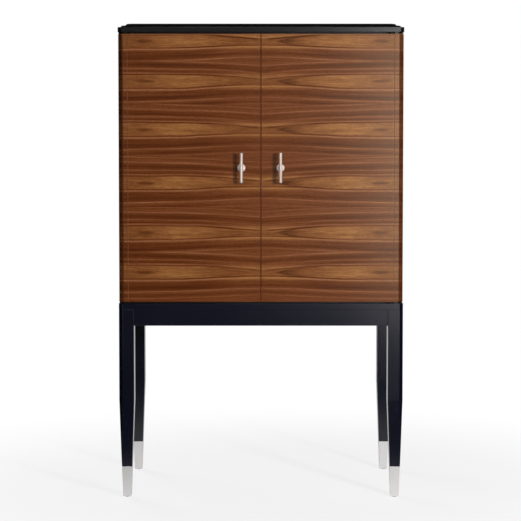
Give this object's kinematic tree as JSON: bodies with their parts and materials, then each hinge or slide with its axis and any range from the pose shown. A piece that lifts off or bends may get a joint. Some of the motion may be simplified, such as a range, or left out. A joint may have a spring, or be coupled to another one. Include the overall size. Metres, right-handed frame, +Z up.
{
  "type": "bar cabinet",
  "caption": "Tall bar cabinet in walnut veneer and black lacquer on a tapered-leg stand, with paired doors and an inner shelf leaf that folds forward as a serving surface.",
  "frame": {"origin": "on the floor, under the middle of the whole outline including the pulls", "axes": "+X to the right of someone facing the doors, +Y to the back, +Z up"},
  "size_m": [0.914, 0.5416, 1.524],
  "materials": {
    "walnut_veneer": "book-matched crown-cut walnut veneer under satin-gloss lacquer",
    "walnut_interior": "straight-grain walnut, satin lacquer",
    "black_lacquer": "black lacquer, polished",
    "satin_nickel": "satin nickel plate",
    "hinge_metal": "nickel-plated brass",
    "hinge_bronze": "dark bronze",
    "back_board": "dark stained plywood",
    "plain_timber": "unfinished beech",
    "glide_plastic": "nylon",
    "catch_plastic": "brown moulded case",
    "mirror_glass": "silvered glass",
    "clear_glass": "polished edge"
  },
  "bodies": {
    "cabinet": {"left_side_panel": "walnut_veneer", "right_side_panel": "walnut_veneer", "case_floor": "walnut_interior", "case_ceiling": "walnut_interior", "bar_shelf": "walnut_interior", "left_leaf_cleat": "walnut_interior", "right_leaf_cleat": "walnut_interior", "left_bottle_divider": "walnut_interior", "right_bottle_divider": "walnut_interior", "bottom_board": "black_lacquer", "stepped_top": "black_lacquer", "front_apron": "black_lacquer", "back_apron": "black_lacquer", "left_apron": "black_lacquer", "right_apron": "black_lacquer", "front_left_leg": "black_lacquer", "front_right_leg": "black_lacquer", "back_left_leg": "black_lacquer", "back_right_leg": "black_lacquer", "front_left_sabot": "satin_nickel", "front_right_sabot": "satin_nickel", "back_left_sabot": "satin_nickel", "back_right_sabot": "satin_nickel", "leaf_hinge_fixed_plates": "hinge_metal", "leaf_hinge_pins": "hinge_metal", "shelf_pins": "hinge_metal", "door_hinge_fixed_plates": "hinge_bronze", "door_hinge_pivots": "hinge_bronze", "back_panel": "back_board", "corner_blocks": "plain_timber", "case_splines": "plain_timber", "leg_glides": "glide_plastic", "magnetic_catch": "catch_plastic", "mirror_panel": "mirror_glass", "glass_shelf": "clear_glass"},
    "left_door": {"left_door_panel": "walnut_veneer", "left_door_hinge_plates": "hinge_bronze", "left_pull_bar": "satin_nickel", "left_pull_post": "satin_nickel", "left_strike_plate": "hinge_metal"},
    "right_door": {"right_door_panel": "walnut_veneer", "right_door_hinge_plates": "hinge_bronze", "right_pull_bar": "satin_nickel", "right_pull_post": "satin_nickel", "right_strike_plate": "hinge_metal"},
    "leaf": {"fold_out_leaf": "walnut_interior", "leaf_hinge_moving_plates": "hinge_metal"}
  },
  "joints": [
    {"name": "left_door_swing", "type": "hinge", "parent": "cabinet", "child": "left_door", "pos_m": [-0.4117, -0.23067, 1.06175], "axis": [0, 0, -1], "range_deg": [0, 110]},
    {"name": "right_door_swing", "type": "hinge", "parent": "cabinet", "child": "right_door", "pos_m": [0.4117, -0.23067, 1.06175], "axis": [0, 0, 1], "range_deg": [0, 110]},
    {"name": "leaf_fold", "type": "hinge", "parent": "cabinet", "child": "leaf", "pos_m": [0, 0.02357, 1.00015], "axis": [1, 0, 0], "range_deg": [0, 180]}
  ]
}
